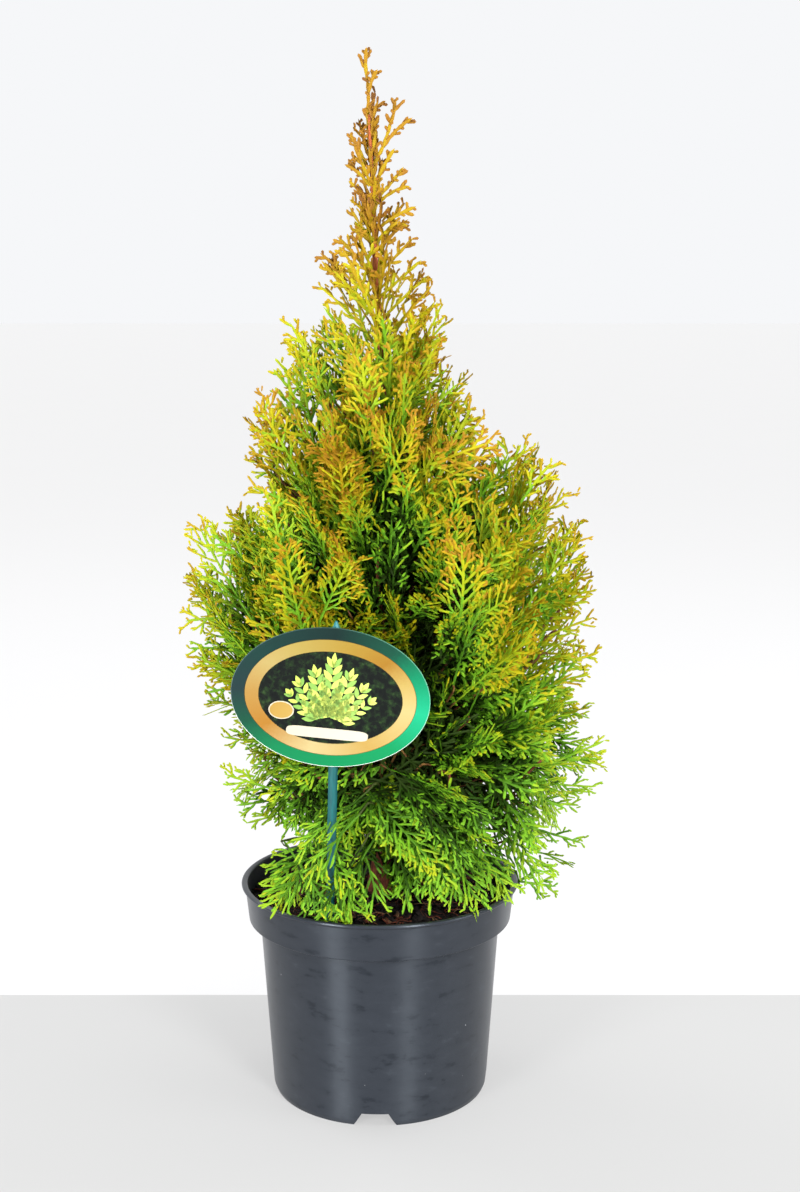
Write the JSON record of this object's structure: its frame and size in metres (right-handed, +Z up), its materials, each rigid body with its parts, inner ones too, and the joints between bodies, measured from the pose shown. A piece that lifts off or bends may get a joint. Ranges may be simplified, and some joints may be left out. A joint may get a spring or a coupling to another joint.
{
  "type": "potted thuja",
  "caption": "Young golden arborvitae shrub in a round nursery pot, with one leader, upright plumes of scale-leaf sprays, and an oval plant label on a stick.",
  "frame": {"origin": "centre of the pot's flat underside", "axes": "+Z up along the stem, -Y towards the front, where the label is, +X to the right as seen from the front"},
  "size_m": [0.2668, 0.2169, 0.6163],
  "materials": {
    "pot_plastic": "satin dark grey moulded plastic, fine turned scuffs",
    "potting_soil": "damp black-brown compost with bark chips and fibres",
    "bark": "thin red-brown fibrous bark",
    "label_board": "printed gloss plastic card",
    "label_stick": "satin teal moulded plastic",
    "foliage_gold": "scale leaves, gold to bronze",
    "foliage_lime": "scale leaves, yellow-green",
    "foliage_green": "scale leaves, fresh green"
  },
  "bodies": {
    "root": {"bough_low_back_left": "bark", "bough_low_back_right": "bark", "bough_low_front": "bark", "bough_low_front_left": "bark", "bough_low_front_right": "bark", "bough_low_left": "bark", "bough_low_right": "bark", "bough_mid_back_left": "bark", "bough_mid_back_right": "bark", "bough_mid_front": "bark", "bough_mid_left": "bark", "bough_mid_right_plume": "bark", "foliage_leader_left": "foliage_gold", "foliage_leader_neck": "foliage_gold", "foliage_leader_right": "foliage_gold", "foliage_leader_tip": "foliage_gold", "foliage_low_back_left": "foliage_green", "foliage_low_back_right": "foliage_green", "foliage_low_front": "foliage_green", "foliage_low_front_left": "foliage_green", "foliage_low_front_right": "foliage_green", "foliage_low_left": "foliage_green", "foliage_low_right": "foliage_green", "foliage_mid_back_left": "foliage_lime", "foliage_mid_back_right": "foliage_lime", "foliage_mid_front": "foliage_lime", "foliage_mid_left": "foliage_lime", "foliage_mid_left_upper": "foliage_lime", "foliage_mid_right_front": "foliage_lime", "foliage_mid_right_plume": "foliage_lime", "foliage_upper_back": "foliage_gold", "foliage_upper_front": "foliage_gold", "foliage_upper_left": "foliage_gold", "foliage_upper_right": "foliage_gold", "label_board": "label_board", "label_peg": "label_stick", "label_stick": "label_stick", "pot": "pot_plastic", "soil": "potting_soil", "stem": "bark"}
  },
  "joints": []
}
